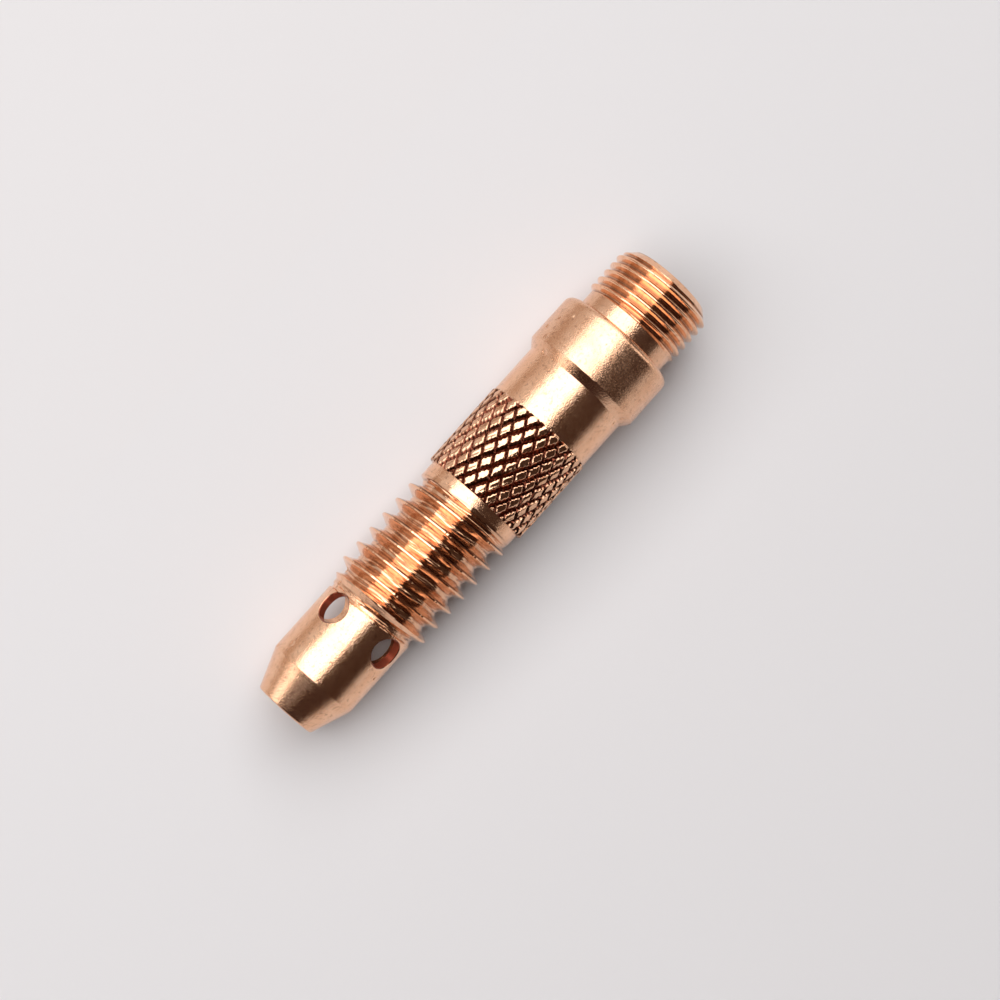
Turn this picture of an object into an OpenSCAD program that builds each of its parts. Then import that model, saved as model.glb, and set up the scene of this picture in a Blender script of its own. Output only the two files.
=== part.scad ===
// Collet body of a TIG welding torch. It is one piece of copper bar, turned,
// drilled, threaded and knurled. It screws into the torch head by the fine thread
// at its back, carries the gas nozzle on the coarse thread at its front, and holds
// the collet and the electrode in its bore.
// The axis lies along X, with the tip at the -X end. The origin is on the axis, in
// the rear face of the collar, which seats on the gasket of the torch head.

/* [Nose] */
// Diameter of the flat face at the tip
tip_d = 5.5; // [4:0.1:6.5]
// Length of the cone behind the tip face
cone_l = 3.4; // [2:0.1:5]
// Diameter of the plain nose
nose_d = 8.1; // [7.9:0.1:9]
// Length of the plain nose, from the cone to the thread's chamfer
nose_l = 7.3; // [6:0.1:10]

/* [Gas holes] */
// Number of gas holes round the nose
gas_holes = 4; // [3:1:6]
// Diameter of a gas hole
gas_hole_d = 2.7; // [1.5:0.1:3]
// Distance of the gas holes' centres in front of the thread's chamfer
gas_hole_back = 1.9; // [1.8:0.1:3]

/* [Nozzle thread] */
// Diameter over the crests of the nozzle thread
nozzle_thread_d = 9.6; // [9.2:0.1:11]
// Depth of the nozzle thread
nozzle_thread_depth = 0.9; // [0.6:0.05:1]
// Pitch of the nozzle thread
nozzle_thread_pitch = 1.59; // [1.2:0.01:2]
// Length of the nozzle thread, from its front chamfer to the plain ring
nozzle_thread_l = 11.5; // [8:0.5:16]
// Angle round the axis at which the nozzle thread's groove starts
nozzle_thread_start = 5; // [0:5:355]
// Diameter of the plain ring behind the nozzle thread
ring_d = 9.1; // [8.9:0.1:9.2]
// Length of that plain ring
ring_l = 0.8; // [0.4:0.1:2]

/* [Knurl] */
// Diameter over the points of the knurl
knurl_d = 9.8; // [9.6:0.1:10.5]
// Length of the knurled grip
knurl_l = 7.9; // [4:0.1:12]
// Diamonds round the knurl
knurl_count = 26; // [16:2:32]
// Diamonds along the knurl
knurl_rows = 4; // [2:1:6]
// Depth of the knurl's grooves
knurl_depth = 0.28; // [0.2:0.02:0.3]

/* [Barrel and collar] */
// Diameter of the smooth barrel
barrel_d = 9.6; // [9.3:0.1:10]
// Length of the smooth barrel, from the knurl to the collar's chamfer
barrel_l = 4.4; // [2:0.1:10]
// Diameter of the collar
collar_d = 10.8; // [10.4:0.1:13]
// Length of the collar with its front chamfer
collar_l = 5.4; // [3:0.1:9]
// Length of the chamfer at the collar's front
collar_chamfer_l = 0.8; // [0.4:0.1:1.5]
// Radius of the rounding at the collar's rear edge
collar_round = 0.6; // [0.3:0.1:1]

/* [Head thread] */
// Diameter of the plain neck behind the collar
neck_d = 8.5; // [8.3:0.1:8.8]
// Length of the plain neck
neck_l = 1.4; // [0.5:0.1:2]
// Diameter over the crests of the head thread
head_thread_d = 9.2; // [9:0.1:10]
// Depth of the head thread
head_thread_depth = 0.45; // [0.3:0.05:0.5]
// Pitch of the head thread
head_thread_pitch = 0.79; // [0.7:0.01:1]
// Length of the head thread, from the neck to the rear face
head_thread_l = 4.9; // [3:0.1:8]
// Angle round the axis at which the head thread's groove starts
head_thread_start = 240; // [0:5:355]
// Chamfer at the rear end
rear_chamfer = 0.9; // [0.3:0.1:1]

/* [Bore] */
// Diameter of the bore that takes the collet
bore_d = 6.5; // [5:0.1:6.6]
// Diameter of the electrode's hole in the tip
electrode_hole_d = 2.7; // [1:0.1:3.3]
// Thickness of solid copper round the electrode's hole, along the axis
tip_wall = 3; // [2:0.1:4]
// Half angle of the cone on which the collet closes
seat_angle = 40; // [30:1:60]
// Chamfer at the bore's rear mouth
mouth_chamfer = 0.3; // [0.1:0.05:0.4]

/* [Hidden] */
$fn = 96;

// Length over which the nozzle thread's groove also cuts into the nose
run_in = 0.75;

// Places along the axis, from the collar's rear face
collar_x = -collar_l;
barrel_x = collar_x - barrel_l;
knurl_x = barrel_x - knurl_l;
ring_x = knurl_x - ring_l;
nozzle_thread_x = ring_x - nozzle_thread_l;
run_in_x = nozzle_thread_x - run_in;
nose_x = nozzle_thread_x - nose_l;
tip_x = nose_x - cone_l;
neck_end_x = neck_l;
rear_x = neck_end_x + head_thread_l;

// How far one form runs into the next, so that they join
overlap = 0.3;
// Facets of the threads in one turn
turn_facets = 30;
// Turns over which the nozzle thread's groove runs out at the ring
runout_turns = 0.8;

// Thread forms: [share of the pitch, share of the depth that stays] from root to root
nozzle_form = [[0, 0], [0.17, 0.12], [0.45, 1], [0.55, 1], [0.83, 0.12]];
head_form = [[0, 0], [0.34, 1], [0.66, 1]];

// Share of the groove's depth at a turn, running out before the last turn
function groove_share(turn, last_turn, runout) =
    runout == 0 ? 1 : max(0, min(1, (last_turn - turn) / runout));

// A right-handed screw along +Z that is whole between two heights. Its groove starts
// one turn below the first of them, at an angle from the X direction, and climbs one
// pitch a turn. The ends are cones to the axis.
module screw(from, to, start, crest_r, depth, pitch, form, runout = 0) {
    last_turn = (to - from) / pitch + 1;
    steps = ceil(last_turn * turn_facets);
    n = len(form);
    points = [
        for (k = [0 : steps + turn_facets], p = form)
            let (
                turn = k / turn_facets,
                a = start + 360 * turn,
                r = crest_r - depth * (1 - p[1]) * groove_share(turn, last_turn, runout)
            )
            [r * cos(a), r * sin(a), from + pitch * (turn - 1 + p[0])],
        [0, 0, from - pitch],
        [0, 0, from + pitch * steps / turn_facets]
    ];
    front = len(points) - 2;
    back = len(points) - 1;
    // The point after the form's last one is the first one of the next turn
    function at(k, j) = j < n ? k * n + j : (k + turn_facets) * n;
    sides = [
        for (k = [0 : steps - 1], j = [0 : n - 1])
            each [
                [at(k, j), at(k, j + 1), at(k + 1, j + 1)],
                [at(k, j), at(k + 1, j + 1), at(k + 1, j)]
            ]
    ];
    ends = [
        for (k = [0 : turn_facets - 1])
            each [
                [front, at(k, 0), at(k + 1, 0)],
                [back, at(steps + k + 1, 0), at(steps + k, 0)]
            ],
        for (j = [0 : n - 1])
            each [
                [front, at(0, j + 1), at(0, j)],
                [back, at(steps, j), at(steps, j + 1)]
            ]
    ];
    polyhedron(points, concat(sides, ends), convexity = 10);
}

// A band of diamond points along +Z. The grooves cross at every other corner of a
// grid, and a diamond rises to its point at each corner between. The grid's first and
// last rows are half a step from the band's ends, which lie at the grooves' depth.
module diamond_knurl(top_d, length, around, along, depth) {
    rows = 2 * along + 1;
    columns = 2 * around;
    row_l = length / (rows - 1);
    column_a = 360 / columns;
    function low(i, j) = (i + j) % 2 == 1;
    points = [
        for (i = [0 : rows], j = [0 : columns - 1])
            let (r = top_d / 2 - (low(i, j) || i == 0 || i == rows ? depth : 0))
            [
                r * cos(j * column_a),
                r * sin(j * column_a),
                max(0, min(length, (i - 0.5) * row_l))
            ]
    ];
    function at(i, j) = i * columns + j % columns;
    sides = [
        for (i = [0 : rows - 1], j = [0 : columns - 1])
            each low(i, j)
                ? [
                    [at(i, j), at(i + 1, j + 1), at(i, j + 1)],
                    [at(i, j), at(i + 1, j), at(i + 1, j + 1)]
                ]
                : [
                    [at(i, j), at(i + 1, j), at(i, j + 1)],
                    [at(i + 1, j), at(i + 1, j + 1), at(i, j + 1)]
                ]
    ];
    ends = [
        [for (j = [0 : columns - 1]) at(0, j)],
        [for (j = [columns - 1 : -1 : 0]) at(rows, j)]
    ];
    polyhedron(points, concat(sides, ends), convexity = 10);
}

// The cone and the plain nose, up to where the nozzle thread's groove begins
module nose() {
    rotate_extrude()
        polygon([
            [0, tip_x],
            [tip_d / 2, tip_x],
            [nose_d / 2, nose_x],
            [nose_d / 2, run_in_x],
            [0, run_in_x]
        ]);
}

// The nozzle thread with the end of the nose that its groove cuts into, its front
// chamfer, and its last turn, which is cut down to the ring's diameter
module nozzle_thread() {
    crest_r = nozzle_thread_d / 2;
    nose_r = nose_d / 2;
    chamfer_x = nozzle_thread_x + (crest_r - nose_r);
    front_x = run_in_x - overlap;
    intersection() {
        rotate_extrude()
            polygon([
                [0, front_x],
                [nose_r - overlap, front_x],
                [nose_r - overlap, run_in_x],
                [nose_r, run_in_x],
                [nose_r, nozzle_thread_x],
                [crest_r + overlap, chamfer_x + overlap],
                [crest_r + overlap, ring_x - ring_l],
                [ring_d / 2, ring_x - ring_l],
                [ring_d / 2, ring_x + overlap],
                [0, ring_x + overlap]
            ]);
        screw(
            front_x,
            ring_x,
            nozzle_thread_start,
            crest_r,
            nozzle_thread_depth,
            nozzle_thread_pitch,
            nozzle_form,
            runout_turns
        );
    }
}

module ring() {
    translate([0, 0, ring_x])
        cylinder(h = ring_l + knurl_l + overlap, d = ring_d);
}

module knurl() {
    translate([0, 0, knurl_x])
        diamond_knurl(knurl_d, knurl_l, knurl_count, knurl_rows, knurl_depth);
}

module barrel() {
    translate([0, 0, barrel_x])
        cylinder(h = barrel_l + overlap, d = barrel_d);
}

module collar() {
    round_r = min(collar_round, (collar_d - neck_d) / 2);
    rotate_extrude()
        union() {
            polygon([
                [0, collar_x],
                [barrel_d / 2, collar_x],
                [collar_d / 2, collar_x + collar_chamfer_l],
                [collar_d / 2, -round_r],
                [collar_d / 2 - round_r, -round_r],
                [collar_d / 2 - round_r, 0],
                [0, 0]
            ]);
            intersection() {
                translate([collar_d / 2 - round_r, -round_r])
                    circle(r = round_r);
                translate([collar_d / 2 - round_r, -round_r])
                    square(round_r);
            }
        }
}

module neck() {
    cylinder(h = neck_l, d = neck_d);
}

// The head thread from the neck to the chamfered rear face
module head_thread() {
    crest_r = head_thread_d / 2;
    lead = max(0, crest_r - neck_d / 2);
    intersection() {
        rotate_extrude()
            polygon([
                [0, neck_end_x - lead],
                [neck_d / 2 - lead, neck_end_x - lead],
                [crest_r + overlap, neck_end_x + lead + overlap],
                [crest_r + overlap, rear_x - rear_chamfer - overlap],
                [crest_r - rear_chamfer, rear_x],
                [0, rear_x]
            ]);
        screw(
            neck_end_x - lead,
            rear_x,
            head_thread_start,
            crest_r,
            head_thread_depth,
            head_thread_pitch,
            head_form
        );
    }
}

// Everything that the drills take out: the collet's bore with the cone on which it
// closes, and the electrode's hole through the tip
module bore() {
    bore_r = bore_d / 2;
    hole_r = electrode_hole_d / 2;
    seat_x = tip_x + tip_wall;
    seat_l = (bore_r - hole_r) / tan(seat_angle);
    rotate_extrude()
        polygon([
            [0, tip_x - overlap],
            [hole_r, tip_x - overlap],
            [hole_r, seat_x],
            [bore_r, seat_x + seat_l],
            [bore_r, rear_x - mouth_chamfer],
            [bore_r + mouth_chamfer, rear_x],
            [bore_r + mouth_chamfer, rear_x + overlap],
            [0, rear_x + overlap]
        ]);
}

module gas_hole_ring() {
    for (i = [0 : gas_holes - 1])
        rotate([0, 0, 360 / gas_holes * (i + 0.5)])
            translate([0, 0, nozzle_thread_x - gas_hole_back])
                rotate([0, 90, 0])
                    cylinder(h = nose_d, d = gas_hole_d);
}

module collet_body() {
    color("peru")
        rotate([0, 90, 0])
            difference() {
                union() {
                    nose();
                    nozzle_thread();
                    ring();
                    knurl();
                    barrel();
                    collar();
                    neck();
                    head_thread();
                }
                bore();
                gas_hole_ring();
            }
}

collet_body();
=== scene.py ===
import math

import bpy
import numpy as np
from mathutils import Matrix, Vector


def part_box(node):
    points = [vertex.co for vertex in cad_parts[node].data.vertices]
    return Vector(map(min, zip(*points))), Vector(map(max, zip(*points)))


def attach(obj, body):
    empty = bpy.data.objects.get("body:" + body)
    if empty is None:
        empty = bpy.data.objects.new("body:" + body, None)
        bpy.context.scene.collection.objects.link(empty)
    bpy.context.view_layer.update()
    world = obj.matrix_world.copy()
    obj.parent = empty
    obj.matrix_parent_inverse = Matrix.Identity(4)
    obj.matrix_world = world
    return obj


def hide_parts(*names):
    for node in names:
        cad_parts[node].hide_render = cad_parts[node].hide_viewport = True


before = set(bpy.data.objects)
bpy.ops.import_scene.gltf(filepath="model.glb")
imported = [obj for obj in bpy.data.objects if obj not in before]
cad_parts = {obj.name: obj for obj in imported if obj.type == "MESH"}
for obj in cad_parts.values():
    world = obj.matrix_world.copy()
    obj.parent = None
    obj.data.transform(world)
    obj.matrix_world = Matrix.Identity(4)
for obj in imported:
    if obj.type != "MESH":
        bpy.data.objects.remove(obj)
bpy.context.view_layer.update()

# ---- The copper bar ---------------------------------------------------------------
# The collet body is one piece of copper, turned from bar. Its skin is one closed mesh
# of rings round the X axis, laid from the electrode's hole over the outside to the
# rear face and back through the bore. Sizes here are in millimetres.

bar_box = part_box("collet_body")
tip_x = bar_box[0].x * 1000
rear_x = bar_box[1].x * 1000
collar_r = bar_box[1].z * 1000

# Columns of the mesh in one turn, a whole number to each of the knurl's diamonds, and
# the angle of each column. The last column repeats the first
knurl_count = 26
diamond_columns = 20
full_turn = 2 * math.pi
columns = knurl_count * diamond_columns
angle = np.linspace(0, full_turn, columns + 1)

# Stretches of rings in their order. Each has an array of x, one of the radius, one of
# how red the copper is and one of where each point lies across the marks of the tool,
# all with a row for each ring and a column for each angle
skin = []


def turned(points, step=0.07, redness=0.0):
    """Plain turned rings along a profile of (x, radius) points."""
    xs, rs = [], []
    for (x0, r0), (x1, r1) in zip(points, points[1:]):
        count = max(1, math.ceil(math.hypot(x1 - x0, r1 - r0) / step))
        share = np.linspace(0, 1, count + 1)
        xs += list(x0 + (x1 - x0) * share)
        rs += list(r0 + (r1 - r0) * share)
    x = np.repeat(np.array(xs)[:, None], columns + 1, axis=1)
    r = np.repeat(np.array(rs)[:, None], columns + 1, axis=1)
    return x, r, np.full(x.shape, redness), np.stack([x, r], axis=-1)


# ---- Nose -------------------------------------------------------------------------
# The smooth front of the body, turned to a short cone with a flat face at the tip.
# The electrode's hole comes out in that face, and its edges are only just broken.

tip_r = 2.75
cone_l = 3.4
nose_r = 4.05
nose_l = 7.3
electrode_r = 1.35
edge_break = 0.08

nose_x = tip_x + cone_l
thread_x = nose_x + nose_l
skin.append(turned([
    (tip_x, electrode_r + edge_break),
    (tip_x, tip_r - edge_break),
    (tip_x + edge_break, tip_r + edge_break / 2),
    (nose_x, nose_r),
]))

# ---- Gas holes --------------------------------------------------------------------
# Four holes drilled square to the axis let the shielding gas out into the nozzle.
# The rings stop at a window round each hole and a fan of smaller rings fills it.

gas_hole_r = 1.35
# From the holes' middle to the thread
gas_hole_back = 1.9
gas_holes = 4
window_l = 3.2
window_columns = 76
window_rows = 32

gas_hole_x = thread_x - gas_hole_back
window_start = gas_hole_x - window_l / 2
window_end = gas_hole_x + window_l / 2
window_step = window_l / window_rows
skin.append(turned([(nose_x, nose_r), (window_start, nose_r)]))
outer_window = len(skin)
skin.append(turned([(window_start, nose_r), (window_end, nose_r)], window_step))

# ---- Nozzle thread ----------------------------------------------------------------
# A coarse right-handed thread that the ceramic gas nozzle screws onto. It is cut with
# a pointed tool that has left fine ridges along its groove. The groove starts in the
# end of the nose and runs out at the plain ring.

crest_r = 4.8
thread_depth = 0.9
thread_pitch = 1.59
thread_l = 11.5
ring_r = 4.55
ring_l = 0.8
run_in = 0.75
run_in_overlap = 0.3
thread_start = 5
thread_rows = 36
runout_turns = 0.8
thread_redness = 0.12
# Height of the thread's form, from 0 at the root to 1 at the crest, against the share
# of a turn from the crest's middle
nozzle_form = ([0, 0.045, 0.06, 0.3, 0.36, 0.42, 0.5], [1, 1, 0.97, 0.17, 0.06, 0.02, 0])

# The tool's ridges: how many of each kind lie across the groove, how they sway in
# radians, the share of the fine kind, their size, and the dark streaks between them
coarse_ridges = 4
coarse_sway = [(2, 3, 0)]
fine_ridges = 7
fine_sway = [(2, 5, 1)]
fine_share = 0.6
ridge_size = 0.026
streak_redness = 0.6
streak_share = 0.6
streak_waves = [(0.4, 7, -2)]
# Torn metal on the crests, and a painted shadow of the burr, a dark line on their side
# away from the nozzle. The painted shadow grows towards the plain ring
burr_size = 0.006
burr_waves = [(1, 29, 3), (1, 67, -5)]
painted_shadow_place = 0.08
painted_shadow_half = 0.035
painted_shadow_darkness = 1.6
painted_shadow_share = 0.75
painted_shadow_growth = 0.15
painted_shadow_growth_l = 5
painted_shadow_waves = [(0.4, 3, 4), (0.3, 11, -3)]
# How much the tool's marks change with each millimetre along the axis
marks_drift = 0.1

ring_x = thread_x + thread_l
ring_start = ring_x - ring_l


def waves(x, a, parts):
    """A sum of waves over the skin. Each part has its strength, how many go round the
    axis in a turn, and how far it shifts for each step of x, in radians."""
    return sum(strength * np.sin(count * a + shift * x) for strength, count, shift in parts)


def helix_rows(x0, x1, pitch, rows):
    """Ring places that climb one pitch a turn and are held between x0 and x1."""
    step = pitch / rows
    count = math.ceil((x1 - x0) / step) + rows
    k = np.arange(count + 1)[:, None] - rows
    return np.clip(x0 + step * k + pitch * angle[None, :] / full_turn, x0, x1)


def thread_turns(x, a, root_x, start, pitch):
    """Turns from the thread's root, which lies at root_x at the start angle, in degrees,
    and climbs one pitch a turn."""
    return (x - root_x) / pitch - (a - math.radians(start)) / full_turn


def thread_height(turns, form):
    """Height of a thread form, from 0 at the root to 1 at the crest."""
    return np.interp(np.abs(turns - np.floor(turns) - 0.5), form[0], form[1])


def thread_marks(x, turns, pitch):
    """Where points lie across the tool's marks, which repeat in every turn, nearly."""
    size = pitch / full_turn
    return np.stack([size * np.cos(full_turn * turns) + marks_drift * x,
                     size * np.sin(full_turn * turns)], axis=-1)


def nozzle_thread(x, a):
    """Radius of the nozzle thread from the nose on, its height and turns, and how dark
    the streaks between the tool's ridges are."""
    turns = thread_turns(x, a, thread_x - run_in - run_in_overlap, thread_start, thread_pitch)
    height = thread_height(turns, nozzle_form)
    last = np.clip((ring_x - x) / thread_pitch / runout_turns, 0, 1)
    ridges = np.sin(full_turn * coarse_ridges * turns + waves(x, a, coarse_sway))
    ridges = ridges + fine_share * np.sin(
        full_turn * fine_ridges * turns + waves(x, a, fine_sway))
    r = crest_r - thread_depth * last * (1 - height)
    r = r - ridge_size * (1 - height) * (1 + fine_share + ridges)
    r = r - burr_size * height * np.clip(waves(x, a, burr_waves), 0, 2)
    r = np.minimum(r, nose_r + np.clip(x - thread_x, 0, None))
    r = np.where(x > ring_start, np.minimum(r, ring_r), r)
    r = np.where(x > thread_x - run_in, r, nose_r)
    streaks = np.clip(ridges, 0, 1) * (streak_share + waves(x, a, streak_waves))
    return r, height, turns, (1 - height) * streaks


x = helix_rows(window_end, ring_x, thread_pitch, thread_rows)
r, height, turns, streaks = nozzle_thread(x, angle[None, :])
r[-1] = ring_r
from_crest = turns - np.floor(turns) - 0.5
# A painted shadow of the burr: a dark line beside each crest on its side away from the nozzle,
# stronger towards the plain ring
painted_burr_shadow = np.clip(painted_shadow_darkness - np.abs(from_crest - painted_shadow_place) / painted_shadow_half, 0, 1)
painted_burr_shadow = painted_burr_shadow * (x < ring_start) * np.clip(
    painted_shadow_share + painted_shadow_growth * (x - ring_x + painted_shadow_growth_l)
    + waves(x, angle[None, :], painted_shadow_waves), 0, 1)
red = np.maximum(thread_redness * (1 - height) + streak_redness * streaks, painted_burr_shadow)
skin.append((x, r, red, thread_marks(x, turns, thread_pitch)))
# The groove starts in the window's rings
x, r, red, marks = skin[outer_window]
skin[outer_window] = x, nozzle_thread(x, angle[None, :])[0], red, marks
skin.append(turned([(ring_x, ring_r), (ring_x + ring_l, ring_r)]))

# ---- Knurl ------------------------------------------------------------------------
# A band of diamonds rolled into the bar as a grip for the fingers. One family of
# grooves is narrow. The other leans, with a long wall on one side and a short one on
# the other. The bottoms and walls of both are dark red, partly copper's own red and partly
# painted shade.

knurl_r = 4.9
knurl_l = 7.9
knurl_rows = 4
diamond_rings = 32
# Where the grooves start, in diamonds round the axis and along it
knurl_turn = 0.11
knurl_along = 0.25
# Depth of each family, the share of a diamond that each wall takes, and its roundness
narrow_depth = 0.22
narrow_share = 0.16
narrow_power = 1.3
leaning_depth = 0.32
leaning_long = 0.37
long_power = 1.1
leaning_short = 0.15
short_power = 1.5
# The rolled grooves wander, and the diamonds' faces are a little crushed
groove_waves = [(0.03, 17, 4), (0.03, 43, -9), (0.03, 71, 21)]
crush = 0.012
crush_waves = [(1, 61, -13)]
knurl_end = 0.12
end_wear = 0.12
# How red the diamonds and the grooves are, and how far up the walls the red reaches,
# which is partly copper's own red and partly painted shade
diamond_redness = 0.08
knurl_red_and_painted_shade = 0.97
narrow_red_and_shade = 5
long_wall_red_and_shade, long_wall_offset = 3, 0.1
short_wall_red_and_shade, short_wall_offset = 4, 0.3
barrel_r = 4.8

knurl_x = ring_x + ring_l
barrel_x = knurl_x + knurl_l
steps = np.linspace(0, knurl_rows, knurl_rows * diamond_rings + 1)[:, None]
x = np.repeat(knurl_x + knurl_l * steps / knurl_rows, columns + 1, axis=1)
around = knurl_count * angle[None, :] / full_turn - knurl_turn
wander = waves(steps, angle[None, :], groove_waves)
off = around + steps - knurl_along + wander / 2
narrow = np.clip(1 - np.abs(off - np.round(off)) / narrow_share, 0, 1) ** narrow_power
off = around - steps + knurl_along + wander
off = off - np.round(off)
leaning = np.where(off < 0, np.clip(1 + off / leaning_long, 0, 1) ** long_power,
                   np.clip(1 - off / leaning_short, 0, 1) ** short_power)
low = np.maximum(narrow_depth * narrow, leaning_depth * leaning)
low = low + crush * (1 + waves(steps, angle[None, :], crush_waves)) * (
    1 - narrow) * (1 - leaning)
# The grooves run out at the barrel, and the diamonds' corners are worn at the ring
from_rear = np.clip((knurl_rows - steps) * knurl_l / knurl_rows / knurl_end, 0, 1)
low = low * from_rear + (knurl_r - barrel_r) * (1 - from_rear)
from_front = np.clip(steps * knurl_l / knurl_rows / knurl_end, 0, 1)
low = np.maximum(low, end_wear * (1 - from_front))
# Each wall of the leaning grooves is painted dark to its own height, partly red copper and
# partly painted shade
wall_red_and_shade = np.where(off < 0, long_wall_red_and_shade * leaning - long_wall_offset,
                    short_wall_red_and_shade * leaning - short_wall_offset)
red = np.clip(np.maximum(narrow_red_and_shade * narrow, wall_red_and_shade), 0, 1) * from_rear
red = diamond_redness + (knurl_red_and_painted_shade - diamond_redness) * red


def stepped(first_r, *stretch):
    """A stretch with one more row at its start, at the radius where the one before it
    ended, so that the step between the two is closed."""
    rows = [np.concatenate([values[:1], values]) for values in stretch]
    rows[1][0] = first_r
    return tuple(rows)


skin.append(stepped(ring_r, x, knurl_r - low, red, np.stack([x, knurl_r - low], axis=-1)))

# ---- Barrel and collar ------------------------------------------------------------
# The plain barrel behind the knurl ends in a short chamfer, and the collar behind it
# seats on the gasket of the torch head with its flat rear face. The collar and what
# lies behind it are a shade redder.

barrel_l = 4.4
chamfer_l = 0.8
collar_round = 0.6
round_steps = 6
neck_r = 4.25
collar_redness = 0.09

collar_x = barrel_x + barrel_l
collar_front = collar_x + chamfer_l
face_r = collar_r - collar_round
skin.append(turned([(barrel_x, barrel_r), (collar_x, barrel_r)]))
skin.append(turned([
    (collar_x, barrel_r),
    (collar_front, collar_r),
    (-collar_round, collar_r),
], redness=collar_redness))
corner = [(-collar_round + collar_round * math.cos(t), face_r + collar_round * math.sin(t))
          for t in np.linspace(math.pi / 2, 0, round_steps + 1)]
skin.append(turned(corner, step=collar_round, redness=collar_redness))
skin.append(turned([(0, face_r), (0, neck_r)], redness=collar_redness))

# ---- Neck and head thread ---------------------------------------------------------
# The rear end screws into the torch head by a fine right-handed thread, whose last
# turn is chamfered so that it starts easily.

neck_l = 1.4
head_crest_r = 4.6
head_depth = 0.45
head_pitch = 0.79
head_rows = 16
head_start = 240
head_redness = 0.6
root_stain = 3
head_form = ([0, 0.06, 0.12, 0.42, 0.5], [1, 0.98, 0.88, 0.1, 0])
rear_chamfer = 0.9
bore_r = 3.25
mouth_chamfer = 0.3

rear_r = head_crest_r - rear_chamfer
mouth_r = bore_r + mouth_chamfer
skin.append(turned([(0, neck_r), (neck_l, neck_r)], redness=collar_redness))
x = helix_rows(neck_l, rear_x, head_pitch, head_rows)
turns = thread_turns(x, angle[None, :], neck_l - (head_crest_r - neck_r), head_start,
                     head_pitch)
height = thread_height(turns, head_form)
r = head_crest_r - head_depth * (1 - height)
r = np.minimum(r, neck_r + (x - neck_l))
r = np.minimum(r, rear_r + (rear_x - x))
# The red of the root reaches a third of the way up
red = head_redness * np.clip(1 - root_stain * height, 0, 1)
skin.append(stepped(neck_r, x, r, red, thread_marks(x, turns, head_pitch)))
skin.append(turned([(rear_x, rear_r), (rear_x, mouth_r)]))

# ---- Bore -------------------------------------------------------------------------
# The collet slides in from the rear and closes on a cone in front of the gas holes,
# and the electrode runs on through the small hole in the tip.

tip_wall = 3
seat_angle = 40
bore_redness = 0.6

seat_x = tip_x + tip_wall
seat_end = seat_x + (bore_r - electrode_r) / math.tan(math.radians(seat_angle))
skin.append(turned([
    (rear_x, mouth_r),
    (rear_x - mouth_chamfer, bore_r),
    (window_end, bore_r),
], step=1, redness=bore_redness))
bore_window = len(skin)
skin.append(turned([(window_end, bore_r), (window_start, bore_r)], window_step, bore_redness))
skin.append(turned([
    (window_start, bore_r),
    (seat_end, bore_r),
    (seat_x, electrode_r),
    (tip_x + edge_break, electrode_r),
    (tip_x, electrode_r + edge_break),
], step=0.25, redness=bore_redness))

# ---- Dents ------------------------------------------------------------------------
# Loose in a box with others, the soft copper gets small round dents. Each has its
# place along the axis, its angle in degrees, its radius and its depth.

dents = [
    (-36.22, 124.9, 0.22, 0.07),
    (-34.00, -121.5, 0.32, 0.10),
    (-39.16, -109.0, 0.28, 0.09),
    (-30.11, 114.1, 0.25, 0.12),
    (-5.27, 125.8, 0.30, 0.10),
    (-5.71, -122.7, 0.34, 0.10),
    (-4.98, -121.8, 0.22, 0.09),
    (-3.40, 108.2, 0.25, 0.09),
    (-4.26, 119.6, 0.25, 0.09),
    (-37.14, 101.8, 0.20, 0.07),
    (-2.35, 116.3, 0.20, 0.07),
    (-1.61, 130.7, 0.20, 0.07),
    (-28.85, 96.9, 0.30, 0.14),
]


def dented(x, r, a):
    """Radius of the skin with the dents in its outside."""
    for dent_x, dent_a, width, depth in dents:
        around = (a - math.radians(dent_a) + math.pi) % full_turn - math.pi
        off = ((x - dent_x) ** 2 + (r * around) ** 2) / width ** 2
        r = np.where(r > mouth_r, r - depth * np.clip(1 - off, 0, 1), r)
    return r


# ---- The skin joined --------------------------------------------------------------
# The stretches are joined into one closed skin, with the drilled walls of the gas
# holes between the outside and the bore. The two upper holes have dull red walls. The
# walls of the two under the part are painted bright, as painted light from the pale table.

fan_rings = 10
fan_spread = 1.3
wall_rings = 8
upper_wall_redness = 2
painted_lit_wall_redness = 0.1
sharp_edge = 40
# Points that meet are less than a hundredth of a micron apart. The sizes are round
# numbers of such steps or of half ones, and the shift keeps both off the rounding's edge
merge_steps = 1e8
merge_shift = 0.3

points, faces, redness, tool_places = [], [], [], []
used = 0


def place(x, r, a):
    """Points in metres at places along the axis, radii and angles."""
    return np.stack([x, r * np.sin(a), -r * np.cos(a)], axis=-1) / 1000


def add_grid(x, r, a, red, marks, keep=None):
    """Adds a grid of points with its quads, or those that keep allows."""
    global used
    rows, cols = x.shape
    points.append(place(x, dented(x, r, a), a).reshape(-1, 3))
    redness.append(red.reshape(-1))
    tool_places.append(marks.reshape(-1, 2))
    index = used + np.arange(rows * cols).reshape(rows, cols)
    quads = np.stack([index[:-1, :-1], index[1:, :-1], index[1:, 1:], index[:-1, 1:]], axis=-1)
    faces.append(quads[keep] if keep is not None else quads.reshape(-1, 4))
    used += rows * cols


window_half = window_columns // 2
hole_columns = [int(columns * (i + 0.5) / gas_holes) for i in range(gas_holes)]
outside_windows = np.ones(columns, bool)
for c in hole_columns:
    outside_windows[c - window_half:c + window_half] = False

for i, (x, r, red, marks) in enumerate(skin):
    keep = None
    if i in (outer_window, bore_window):
        keep = np.repeat(outside_windows[None, :], len(x) - 1, axis=0)
    add_grid(x, r, np.broadcast_to(angle, x.shape), red, marks, keep)

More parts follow.
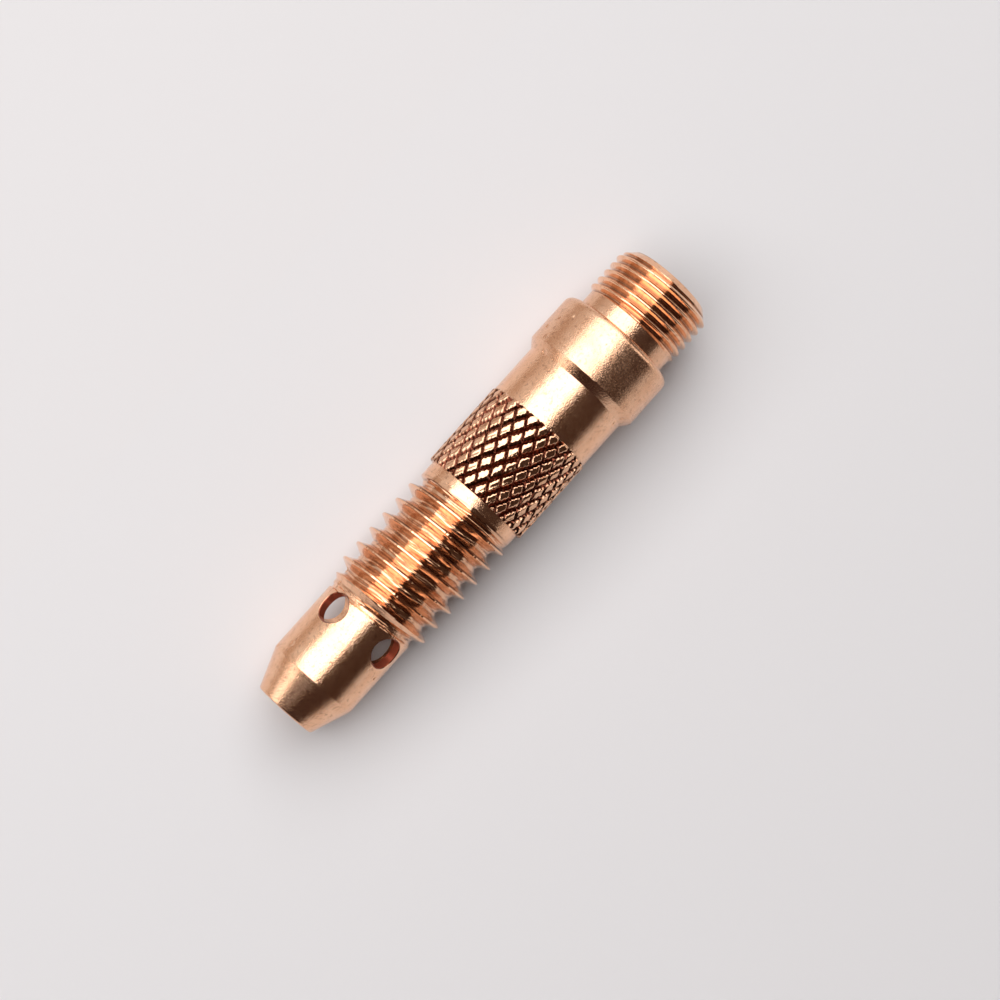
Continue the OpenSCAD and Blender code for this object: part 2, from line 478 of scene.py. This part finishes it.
for c in hole_columns:
    middle = angle[c]
    # The window's edge, once round, as steps of rows and columns from its middle
    across = np.arange(-window_half, window_half)
    along = np.linspace(-1, 1, window_rows + 1)[:-1]
    edge_a = np.concatenate([across, np.full(window_rows, window_half),
                             -across, np.full(window_rows, -window_half)])
    edge_x = np.concatenate([np.full(window_columns, -1.0), along,
                             np.full(window_columns, 1.0), -along])
    edge_a = edge_a * (angle[1] - angle[0])
    edge_x = edge_x * window_l / 2
    round_hole = np.arctan2(edge_x, edge_a * nose_r)
    loops = []
    for radius, hole in ((nose_r, gas_hole_r + edge_break), (bore_r, gas_hole_r)):
        rim_a = np.arcsin(hole * np.cos(round_hole) / radius)
        rim_x = hole * np.sin(round_hole)
        share = np.linspace(0, 1, fan_rings + 1)[:, None] ** fan_spread
        a = middle + rim_a + (edge_a - rim_a) * share
        x = gas_hole_x + rim_x + (edge_x - rim_x) * share
        if radius == nose_r:
            a, x = a[::-1], x[::-1]
            r = nozzle_thread(x, a)[0]
        else:
            r = np.full(x.shape, radius)
        loops.append((x, r, a))
    outer, inner = loops
    # The wall runs straight down the drill's axis from a small edge break
    offset = gas_hole_r * np.cos(round_hole)
    top = np.sqrt(outer[1][-1] ** 2 - offset ** 2) - edge_break
    foot = np.sqrt(bore_r ** 2 - offset ** 2)
    depth = np.linspace(0, 1, wall_rings + 1)[:, None]
    height = top + (foot - top) * depth
    wall_r = np.hypot(height, offset)
    wall_a = middle + np.arctan2(offset, height)
    wall_x = np.broadcast_to(gas_hole_x + gas_hole_r * np.sin(round_hole), height.shape)
    x = np.concatenate([outer[0], wall_x, inner[0][1:]])
    r = np.concatenate([outer[1], wall_r, inner[1][1:]])
    a = np.concatenate([outer[2], wall_a, inner[2][1:]])
    x, r, a = (np.concatenate([v, v[:, :1]], axis=1) for v in (x, r, a))
    red = np.zeros(x.shape)
    wall_start = fan_rings + 1
    wall_end = wall_start + wall_rings + 1
    # The lower holes' walls are painted bright copper, painted light from the table
    upper = abs(middle - math.pi) < math.pi / 2
    red[wall_start:wall_end] = upper_wall_redness if upper else painted_lit_wall_redness
    red[wall_end:] = bore_redness
    add_grid(x, r, a, red, np.stack([x, r], axis=-1))

points = np.concatenate(points)
faces = np.concatenate(faces)
keys = np.floor(points * merge_steps + merge_shift).astype(np.int64)
_, first, same = np.unique(keys, axis=0, return_index=True, return_inverse=True)
points = points[first]
redness = np.concatenate(redness)[first]
tool_places = np.concatenate(tool_places)[first]
tool_places = np.concatenate([tool_places, np.zeros((len(first), 1))], axis=1)
faces = same.reshape(-1)[faces]

# Quads with corners that meet become triangles or go
polygons = []
for quad in faces.tolist():
    corners = [v for i, v in enumerate(quad) if v != quad[i - 1]]
    if len(set(corners)) == len(corners) and len(corners) > 2:
        polygons.append(corners)

mesh = bpy.data.meshes.new("collet_body_skin")
mesh.from_pydata(points.tolist(), [], polygons)
mesh.validate()
mesh.shade_smooth()
mesh.set_sharp_from_angle(angle=math.radians(sharp_edge))
mesh.attributes.new("groove", "FLOAT", "POINT").data.foreach_set("value", redness)
mesh.attributes.new("tool_place", "FLOAT_VECTOR", "POINT").data.foreach_set(
    "vector", tool_places.reshape(-1))
body = bpy.data.objects.new("collet_body_skin", mesh)
bpy.context.scene.collection.objects.link(body)
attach(body, "root")
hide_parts("collet_body")

# ---- Copper -----------------------------------------------------------------------
# The bar is bright copper. Turning leaves fine rings round it, handling leaves a soft
# grain and small brown specks, and the grooves and drilled holes are redder than the
# open surface. That dark red is partly the copper's own and partly painted shade, and
# the lower holes' walls are painted bright as painted light.

bright = (0.93, 0.56, 0.36, 1)
dull = (0.86, 0.48, 0.29, 1)
speck = (0.30, 0.12, 0.06, 1)
speck_strength = 0.55
# Dark red of the grooves, partly the copper's own and partly painted shade
dark_red_and_painted_shade = (0.10, 0.02, 0.01, 1)
drilled = (0.55, 0.12, 0.06, 1)
drilled_metallic = 0.5
# Roughness of the open surface, from and to, and what is added on the collar, on the
# threads, which are cut, and on the knurl, which is rolled
smooth, rough = 0.12, 0.28
collar_matt = 0.06
cut_matt = -0.08
rolled_matt = -0.06
# The grain's bumps: their strength, what is added to it on the threads and on the
# knurl, and their height in metres. Then strength and height of the turned rings
grain_bump = 0.9
cut_bump = -0.7
rolled_bump = -0.5
grain_height = 0.00002
ring_bump = 0.6
ring_height = 0.00001
# How fast the turned rings change round the axis, against 1 across them
marks_along = 0.06

copper = bpy.data.materials.new("turned_copper")
copper.use_nodes = True
nodes = copper.node_tree.nodes
links = copper.node_tree.links
shader = nodes["Principled BSDF"]

place_mm = nodes.new("ShaderNodeMapping")
place_mm.inputs["Scale"].default_value = (1000, 1000, 1000)
links.new(nodes.new("ShaderNodeTexCoord").outputs["Object"], place_mm.inputs["Vector"])
axis_place = nodes.new("ShaderNodeSeparateXYZ")
links.new(place_mm.outputs["Vector"], axis_place.inputs["Vector"])
tool_place = nodes.new("ShaderNodeAttribute")
tool_place.attribute_name = "tool_place"
groove = nodes.new("ShaderNodeAttribute")
groove.attribute_name = "groove"


def noise_of(scale, detail, marks=False):
    """A noise over the part in cycles a millimetre. It follows the tool's marks, and
    changes only slowly along them, where marks is set."""
    pattern = nodes.new("ShaderNodeTexNoise")
    pattern.inputs["Scale"].default_value = scale
    pattern.inputs["Detail"].default_value = detail
    if marks:
        along = nodes.new("ShaderNodeVectorMath")
        along.operation = "MULTIPLY_ADD"
        links.new(place_mm.outputs["Vector"], along.inputs[0])
        along.inputs[1].default_value = (0, marks_along, marks_along)
        links.new(tool_place.outputs["Vector"], along.inputs[2])
        links.new(along.outputs["Vector"], pattern.inputs["Vector"])
    else:
        links.new(place_mm.outputs["Vector"], pattern.inputs["Vector"])
    return pattern.outputs["Fac"]


def mapped(value, low, high, to_low, to_high):
    """A value carried from one range to another."""
    remap = nodes.new("ShaderNodeMapRange")
    for name, number in (("From Min", low), ("From Max", high),
                         ("To Min", to_low), ("To Max", to_high)):
        remap.inputs[name].default_value = number
    links.new(value, remap.inputs["Value"])
    return remap.outputs["Result"]


def mixed(factor, first, second):
    """A colour between two, each a colour or another mix."""
    mix = nodes.new("ShaderNodeMix")
    mix.data_type = "RGBA"
    links.new(factor, mix.inputs["Factor"])
    for colour, socket in ((first, mix.inputs[6]), (second, mix.inputs[7])):
        if isinstance(colour, tuple):
            socket.default_value = colour
        else:
            links.new(colour, socket)
    return mix.outputs[2]


def raised(value, start, end, amount):
    """A value, plain or another node's, with an amount added between two places along
    the axis."""
    within = nodes.new("ShaderNodeMath")
    within.operation = "COMPARE"
    within.inputs[1].default_value = (start + end) / 2
    within.inputs[2].default_value = (end - start) / 2
    links.new(axis_place.outputs["X"], within.inputs[0])
    total = nodes.new("ShaderNodeMath")
    total.operation = "MULTIPLY_ADD"
    links.new(within.outputs[0], total.inputs[0])
    total.inputs[1].default_value = amount
    if isinstance(value, float):
        total.inputs[2].default_value = value
    else:
        links.new(value, total.inputs[2])
    return total.outputs[0]


clouds = noise_of(scale=0.9, detail=3)
skin_colour = mixed(mapped(clouds, 0.35, 0.7, 0, 1), bright, dull)
spots = noise_of(scale=3.5, detail=5)
speckled = mixed(mapped(spots, 0.55, 0.75, 0, speck_strength), skin_colour, speck)
# The redness holds painted shade in the knurl and beside the crests, and painted light on the
# lower holes' walls
red_and_painted_shade = groove.outputs["Fac"]
grooved = mixed(red_and_painted_shade, speckled, dark_red_and_painted_shade)
# From 1 to 2 the redness leads on to a drilled wall, which is dull and less metallic
links.new(mixed(mapped(red_and_painted_shade, 1, 2, 0, 1), grooved, drilled), shader.inputs["Base Color"])
links.new(mapped(red_and_painted_shade, 1, 2, 1, drilled_metallic), shader.inputs["Metallic"])

grain = noise_of(scale=5.5, detail=5)
roughness = mapped(grain, 0.3, 0.8, smooth, rough)
for start, end, amount in ((collar_front, 0, collar_matt), (thread_x, ring_x, cut_matt),
                           (neck_l, rear_x, cut_matt), (knurl_x, barrel_x, rolled_matt)):
    roughness = raised(roughness, start, end, amount)
links.new(roughness, shader.inputs["Roughness"])

bump_rings = nodes.new("ShaderNodeBump")
bump_rings.inputs["Strength"].default_value = ring_bump
bump_rings.inputs["Distance"].default_value = ring_height
links.new(noise_of(scale=7, detail=2, marks=True), bump_rings.inputs["Height"])
bump_grain = nodes.new("ShaderNodeBump")
grain_strength = grain_bump
for start, end, amount in ((thread_x, ring_x, cut_bump), (neck_l, rear_x, cut_bump),
                           (knurl_x, barrel_x, rolled_bump)):
    grain_strength = raised(grain_strength, start, end, amount)
links.new(grain_strength, bump_grain.inputs["Strength"])
bump_grain.inputs["Distance"].default_value = grain_height
links.new(noise_of(scale=9, detail=2), bump_grain.inputs["Height"])
links.new(bump_rings.outputs["Normal"], bump_grain.inputs["Normal"])
links.new(bump_grain.outputs["Normal"], shader.inputs["Normal"])
mesh.materials.append(copper)

# ---- Table ------------------------------------------------------------------------
# A pale matt table. The part lies on it by its collar and its first thread crest, so
# its axis leans a little. The sizes of the table, lights and room are in metres.

# Where the first crest touches the table, in millimetres behind the thread's start
first_crest = 0.75
table_half = 2.0
table_colour = (0.80, 0.77, 0.775, 1)
table_roughness = 0.6

scene = bpy.context.scene
lean = math.atan2(collar_r - crest_r, collar_front - (thread_x + first_crest))
tilt = Matrix.Rotation(lean, 3, "Y")
table_mid = Vector((collar_front, 0, -collar_r)) / 1000


def on_table(u, v, above=0.0):
    """A point in metres on the table, from where the collar touches it."""
    return table_mid + tilt @ Vector((u, v, above))


table_mesh = bpy.data.meshes.new("table_top")
table_mesh.from_pydata([on_table(u * table_half, v * table_half)
                        for u, v in [(-1, -1), (1, -1), (1, 1), (-1, 1)]],
                       [], [(0, 1, 2, 3)])
table = bpy.data.objects.new("table_top", table_mesh)
scene.collection.objects.link(table)
table_paint = bpy.data.materials.new("pale_table")
table_paint.use_nodes = True
paint = table_paint.node_tree.nodes["Principled BSDF"]
paint.inputs["Base Color"].default_value = table_colour
paint.inputs["Roughness"].default_value = table_roughness
table_mesh.materials.append(table_paint)

# ---- Soft light -------------------------------------------------------------------
# One long soft light stands over the +Y side. Its front end lights the table but is
# kept out of the metal's reflections.

# The light's middle in degrees off Z towards +Y and half its width in degrees
soft_from = 25.5
soft_half = 29
soft_distance = 0.6
soft_radiance = 2.45
soft_front, soft_cut, soft_rear = -0.65, -0.33, 0.65

soft_width = 2 * soft_distance * math.tan(math.radians(soft_half))
for name, start, end in (("soft_light", soft_cut, soft_rear),
                         ("soft_light_end", soft_front, soft_cut)):
    soft_data = bpy.data.lights.new(name, "AREA")
    soft_data.shape = "RECTANGLE"
    soft_data.size = end - start
    soft_data.size_y = soft_width
    soft_data.energy = soft_radiance * math.pi * soft_data.size * soft_width
    soft = bpy.data.objects.new(name, soft_data)
    soft.matrix_world = (Matrix.Rotation(-math.radians(soft_from), 4, "X")
                         @ Matrix.Translation(((start + end) / 2, 0, soft_distance)))
    soft.visible_glossy = name == "soft_light"
    scene.collection.objects.link(soft)

# ---- Room in the reflections ------------------------------------------------------
# Polished copper shows the room round it. Dark and light parts of a dome stand for
# the room's screens, ends and windows, and a strip along the +Y side for the far part
# of the table and the wall behind it. They show only in reflections.

dome_r = 0.9
dome_steps = 12
dark_screen = (0.055, 0.034, 0.026, 1)
dark_room = (0.05, 0.03, 0.025, 1)
# Each part has its limits in degrees off Z towards +Y and in degrees towards +X, and
# its radiance
dome_parts = [
    ("dark_screen", (-3.5, -80), (-39, 28), dark_screen),
    ("dark_end", (-80, 46), (-39, -90), dark_room),
    ("dark_corner", (46, 70), (-62, -90), dark_room),
    ("bright_end", (46, 84), (-39, -61), (2.2, 2.1, 2.0, 1)),
    ("dark_rear", (-3.5, -80), (42, 88), dark_room),
    ("bright_gap", (-3.5, -80), (28, 42), (1.9, 1.8, 1.7, 1)),
    ("bright_rear", (0, 62), (51, 80), (2.3, 2.2, 2.1, 1)),
]
# The strip's limits across the table, how long it is each way, how far it lies over
# the table, and the height of the wall behind it
strip_near, strip_far = 0.024, 0.9
strip_half = 0.9
strip_above = 0.0002
wall_height = 0.07
far_table = (0.54, 0.45, 0.39, 1)


def reflected(name, rows, radiance):
    """A surface through rows of points that only shows in reflections."""
    count = len(rows[0])
    card_mesh = bpy.data.meshes.new(name)
    card_mesh.from_pydata([point for row in rows for point in row], [], [
        (i * count + j, i * count + j + 1, (i + 1) * count + j + 1, (i + 1) * count + j)
        for i in range(len(rows) - 1) for j in range(count - 1)])
    card = bpy.data.objects.new(name, card_mesh)
    scene.collection.objects.link(card)
    card.visible_camera = False
    card.visible_diffuse = False
    card.visible_shadow = False
    card_paint = bpy.data.materials.new(name)
    card_paint.use_nodes = True
    tree = card_paint.node_tree
    tree.nodes.clear()
    glow = tree.nodes.new("ShaderNodeEmission")
    glow.inputs["Color"].default_value = radiance
    output = tree.nodes.new("ShaderNodeOutputMaterial")
    tree.links.new(glow.outputs["Emission"], output.inputs["Surface"])
    card_mesh.materials.append(card_paint)


def on_dome(side, along):
    """A point of the dome from its angle off Z towards +Y and its angle towards +X."""
    a, e = math.radians(side), math.radians(along)
    return dome_r * Vector((math.sin(e), math.sin(a) * math.cos(e),
                            math.cos(a) * math.cos(e)))


for name, sides, alongs, radiance in dome_parts:
    reflected(name, [[on_dome(side, along) for along in np.linspace(*alongs, dome_steps + 1)]
                     for side in np.linspace(*sides, dome_steps + 1)], radiance)

strip = [[on_table(u, v, strip_above) for u in (-strip_half, strip_half)]
         for v in (strip_near, strip_far)]
strip.append([point + Vector((0, 0, wall_height)) for point in strip[-1]])
reflected("far_table", strip, far_table)

# ---- World ------------------------------------------------------------------------
# A pale room. It is bright to the camera and in the metal, and dim to the table, also
# where its light reaches the table by way of the metal.

room_colour = (1, 0.985, 0.98, 1)
room_dim = 0.065
room_bright = 0.75

world = bpy.data.worlds.new("room")
world.use_nodes = True
room = world.node_tree
light_path = room.nodes.new("ShaderNodeLightPath")


def room_math(operation, first, second):
    """The result of one operation on two values, each a node's output or a number."""
    node = room.nodes.new("ShaderNodeMath")
    node.operation = operation
    for value, socket in ((first, node.inputs[0]), (second, node.inputs[1])):
        if isinstance(value, float):
            socket.default_value = value
        else:
            room.links.new(value, socket)
    return node.outputs[0]


direct = room_math("LESS_THAN", light_path.outputs["Diffuse Depth"], 0.5)
seen = room_math("MULTIPLY", light_path.outputs["Is Glossy Ray"], direct)
seen = room_math("ADD", light_path.outputs["Is Camera Ray"], seen)
seen = room_math("ADD", seen, light_path.outputs["Is Transmission Ray"])
strength = room.nodes.new("ShaderNodeMapRange")
strength.inputs["To Min"].default_value = room_dim
strength.inputs["To Max"].default_value = room_bright
room.links.new(seen, strength.inputs["Value"])
room.links.new(strength.outputs["Result"], room.nodes["Background"].inputs["Strength"])
room.nodes["Background"].inputs["Color"].default_value = room_colour
scene.world = world
scene.view_settings.view_transform = "Standard"

# ---- Camera -----------------------------------------------------------------------
# The camera looks down from above the gas holes, turned so that the part lies from
# the lower left to the upper right. Its places and its lens are in millimetres.

camera_lens = 90.2
sensor_width = 36
camera_eye = (-31.1, -1.6, 204.1)
camera_aim = (-16.35, -1.6, 0.0)
# Degrees that the camera leans over towards +Y, and that it is turned round its view
camera_sway = 4.5
camera_roll = 48.1

camera_data = bpy.data.cameras.new("camera")
camera_data.sensor_width = sensor_width
camera_data.lens = camera_lens
camera = bpy.data.objects.new("camera", camera_data)
sway = Matrix.Rotation(-math.radians(camera_sway), 3, "X")
eye = sway @ Vector(camera_eye) / 1000
aim = sway @ Vector(camera_aim) / 1000
back = (eye - aim).normalized()
axis_x = Vector((1, 0, 0))
level = (axis_x - back * axis_x.dot(back)).normalized()
right = Matrix.Rotation(-math.radians(camera_roll), 3, back) @ level
upward = back.cross(right)
camera.matrix_world = (Matrix.Translation(eye)
                       @ Matrix((right, upward, back)).transposed().to_4x4())
scene.collection.objects.link(camera)
scene.camera = camera
